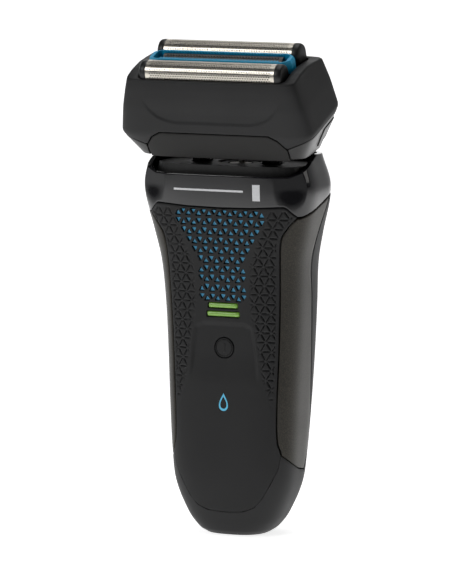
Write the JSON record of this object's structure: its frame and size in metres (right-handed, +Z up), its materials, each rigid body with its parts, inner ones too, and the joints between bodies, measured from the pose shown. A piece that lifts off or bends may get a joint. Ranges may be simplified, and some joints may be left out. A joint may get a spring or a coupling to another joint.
{
  "type": "foil shaver",
  "caption": "Upright electric foil shaver: waisted handle with side grips and a tilting head that carries sprung foils, an intercept trimmer and, behind, a pop-up trimmer.",
  "frame": {"origin": "centre of the flat base face that the shaver stands on", "axes": "+Z up along the handle, front face (button and lights) towards -Y, +X to the right seen from the front"},
  "size_m": [0.0662, 0.0452, 0.1586],
  "materials": {
    "soft_black": "soft-touch satin",
    "gloss_black": "moulded gloss",
    "rubber_black": "moulded matte with embossed triangles",
    "inner_plastic": "moulded matte",
    "gunmetal": "metallic sprayed lacquer",
    "blue_plastic": "moulded satin",
    "green_lens": "lit diffusing lens",
    "white_plastic": "moulded acetal",
    "board_green": "solder mask",
    "cell_wrap": "shrink sleeve",
    "steel_pin": "ground steel",
    "spring_steel": "drawn wire",
    "motor_steel": "drawn can",
    "contact_brass": "gold-plated",
    "blade_steel": "ground edge",
    "dark_blade_steel": "dark coated",
    "foil_steel": "perforated electroformed foil"
  },
  "bodies": {
    "handle": {"front_housing": "inner_plastic", "rear_shell": "soft_black", "front_grip_panel": "rubber_black", "blue_inlay": "blue_plastic", "side_grip_left": "gunmetal", "side_grip_right": "gunmetal", "top_collar": "gloss_black", "neck_deck": "inner_plastic", "neck_boot": "rubber_black", "tilt_yoke": "inner_plastic", "tilt_pins": "steel_pin", "led_lens_upper": "green_lens", "led_lens_lower": "green_lens", "led_chips": "white_plastic", "button_spring": "spring_steel", "button_switch": "inner_plastic", "circuit_board": "board_green", "chassis": "white_plastic", "battery_cell_left": "cell_wrap", "battery_cell_right": "cell_wrap", "battery_contacts": "spring_steel", "motor": "motor_steel", "motor_clamp": "inner_plastic", "socket_housing": "inner_plastic", "charge_pins": "contact_brass", "socket_gasket": "rubber_black", "case_screws": "steel_pin", "trimmer_bay": "inner_plastic"},
    "head": {"tilt_bracket": "inner_plastic", "head_base": "gloss_black", "thumb_panel": "soft_black", "release_springs": "spring_steel"},
    "drive": {"drive_eccentric": "steel_pin"},
    "button": {"power_button": "rubber_black"},
    "popup": {"popup_arm": "gloss_black", "popup_comb": "blade_steel", "popup_pin": "steel_pin"},
    "popup_blade": {"popup_cutter": "dark_blade_steel"},
    "latch": {"popup_latch": "gloss_black"},
    "release_left": {"release_button_left": "gloss_black"},
    "release_right": {"release_button_right": "gloss_black"},
    "bridge": {"drive_bridge": "white_plastic", "cutter_springs": "spring_steel"},
    "cutter_a": {"cutter_front": "blade_steel"},
    "cutter_b": {"cutter_rear": "blade_steel"},
    "intercept_cutter": {"intercept_blade": "dark_blade_steel"},
    "cassette": {"head_frame": "soft_black"},
    "foil_a": {"foil_front": "foil_steel", "foil_front_caps": "inner_plastic"},
    "foil_b": {"foil_rear": "foil_steel", "foil_rear_caps": "inner_plastic"},
    "guard": {"intercept_guard": "blue_plastic"}
  },
  "joints": [
    {"name": "head_tilt", "type": "hinge", "parent": "handle", "child": "head", "pos_m": [0, -0.00207, 0.12027], "axis": [1, 0, 0], "range_deg": [-7, 7], "stiffness_Nm_per_rad": 0.6},
    {"name": "motor_spin", "type": "hinge", "parent": "handle", "child": "drive", "pos_m": [0, 0.0005, 0.1], "axis": [0, 0, 1], "continuous": true},
    {"name": "button_press", "type": "slide", "parent": "handle", "child": "button", "axis": [0, 1, 0], "range_m": [0, 0.0007], "stiffness_N_per_m": 600, "deforming": ["button_spring"]},
    {"name": "popup_swing", "type": "hinge", "parent": "handle", "child": "popup", "pos_m": [0, 0.01391, 0.0775], "axis": [-1, 0, 0], "range_deg": [0, 80]},
    {"name": "popup_blade_slide", "type": "slide", "parent": "popup", "child": "popup_blade", "axis": [1, 0, 0], "range_m": [-0.0008, 0.0008]},
    {"name": "latch_slide", "type": "slide", "parent": "handle", "child": "latch", "axis": [0, 0, 1], "range_m": [0, 0.003]},
    {"name": "release_left_press", "type": "slide", "parent": "head", "child": "release_left", "axis": [1, 0, 0], "range_m": [0, 0.001], "stiffness_N_per_m": 600, "deforming": ["release_springs"]},
    {"name": "release_right_press", "type": "slide", "parent": "head", "child": "release_right", "axis": [-1, 0, 0], "range_m": [0, 0.001], "stiffness_N_per_m": 600},
    {"name": "bridge_slide", "type": "slide", "parent": "head", "child": "bridge", "axis": [1, 0, 0], "range_m": [-0.0012, 0.0012]},
    {"name": "frame_lift", "type": "slide", "parent": "head", "child": "cassette", "axis": [0, -0.3584, 0.9336], "range_m": [0, 0.016]},
    {"name": "foil_front_float", "type": "slide", "parent": "cassette", "child": "foil_a", "axis": [0, 0.3584, -0.9336], "range_m": [0, 0.0015], "stiffness_N_per_m": 500},
    {"name": "foil_rear_float", "type": "slide", "parent": "cassette", "child": "foil_b", "axis": [0, 0.3584, -0.9336], "range_m": [0, 0.0015], "stiffness_N_per_m": 500},
    {"name": "guard_float", "type": "slide", "parent": "cassette", "child": "guard", "axis": [0, 0.3584, -0.9336], "range_m": [0, 0.0015], "stiffness_N_per_m": 500},
    {"name": "cutter_front_float", "type": "slide", "parent": "bridge", "child": "cutter_a", "axis": [0, 0.3584, -0.9336], "range_m": [0, 0.0015], "deforming": ["cutter_springs"]},
    {"name": "cutter_rear_float", "type": "slide", "parent": "bridge", "child": "cutter_b", "axis": [0, 0.3584, -0.9336], "range_m": [0, 0.0015]},
    {"name": "intercept_float", "type": "slide", "parent": "bridge", "child": "intercept_cutter", "axis": [0, 0.3584, -0.9336], "range_m": [0, 0.0015]}
  ],
  "couplings": [
    {"joint": "cutter_front_float", "follows": "foil_front_float", "ratio": 1},
    {"joint": "cutter_rear_float", "follows": "foil_rear_float", "ratio": 1},
    {"joint": "intercept_float", "follows": "guard_float", "ratio": 1}
  ]
}
